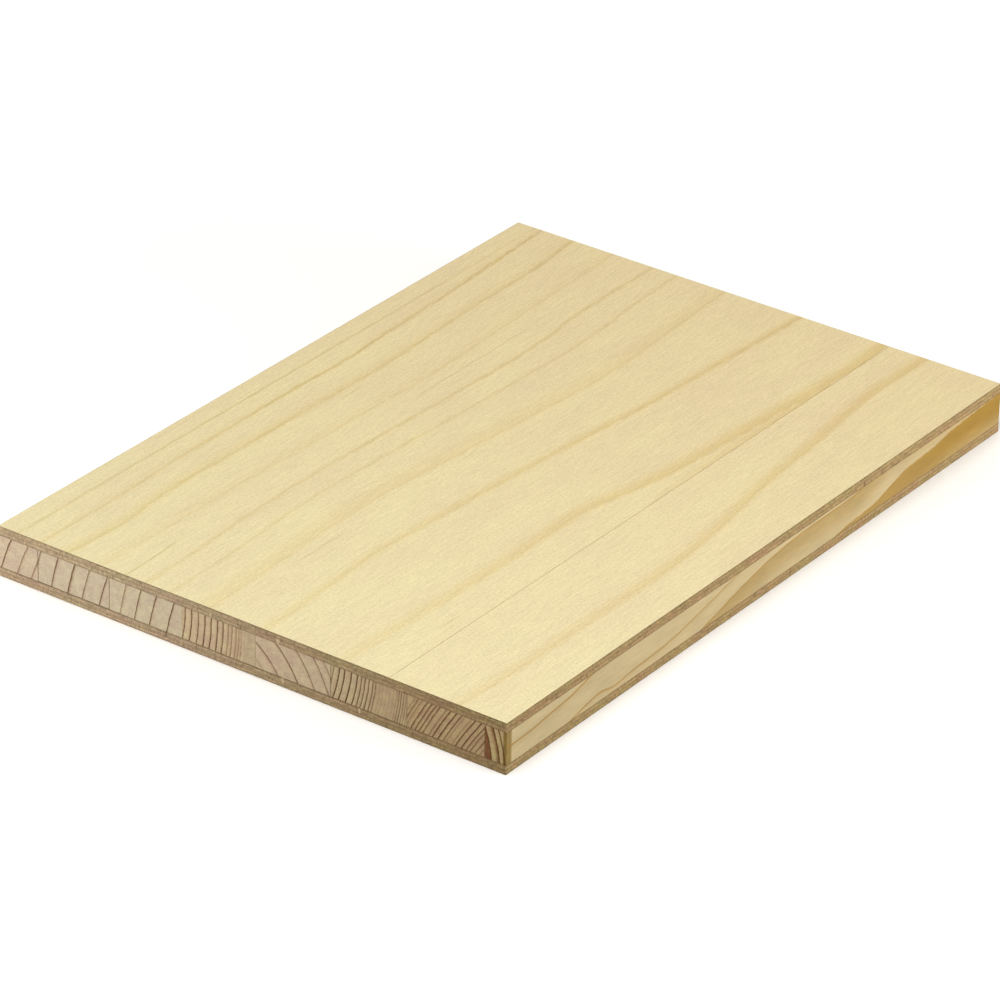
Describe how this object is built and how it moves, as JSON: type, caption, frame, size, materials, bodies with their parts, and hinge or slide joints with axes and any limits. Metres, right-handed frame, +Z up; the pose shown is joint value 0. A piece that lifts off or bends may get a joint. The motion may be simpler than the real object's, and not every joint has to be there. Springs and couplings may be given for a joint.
{
  "type": "blockboard",
  "caption": "Flat rectangular blockboard sheet: a core of edge-laid softwood strips between crossbands and pale face veneers, for shelves, doors and furniture panels.",
  "frame": {"origin": "centre of the underside of the board, on the floor it lies on", "axes": "+Z up through the thickness, +Y along the core strips and the board's length, +X across the strips to the edge with the narrow strip"},
  "size_m": [0.21, 0.297, 0.019],
  "materials": {
    "face_veneer": "sanded pale veneer, unfinished",
    "crossband": "sawn veneer edge, unfinished",
    "core_strip": "sawn softwood, unfinished"
  },
  "bodies": {
    "root": {"bottom_face_veneer": "face_veneer", "bottom_crossband": "crossband", "core_strip_1": "core_strip", "core_strip_2": "core_strip", "core_strip_3": "core_strip", "core_strip_4": "core_strip", "core_strip_5": "core_strip", "core_strip_6": "core_strip", "core_strip_7": "core_strip", "core_strip_8": "core_strip", "top_crossband": "crossband", "top_face_veneer_left": "face_veneer", "top_face_veneer_right": "face_veneer"}
  },
  "joints": []
}
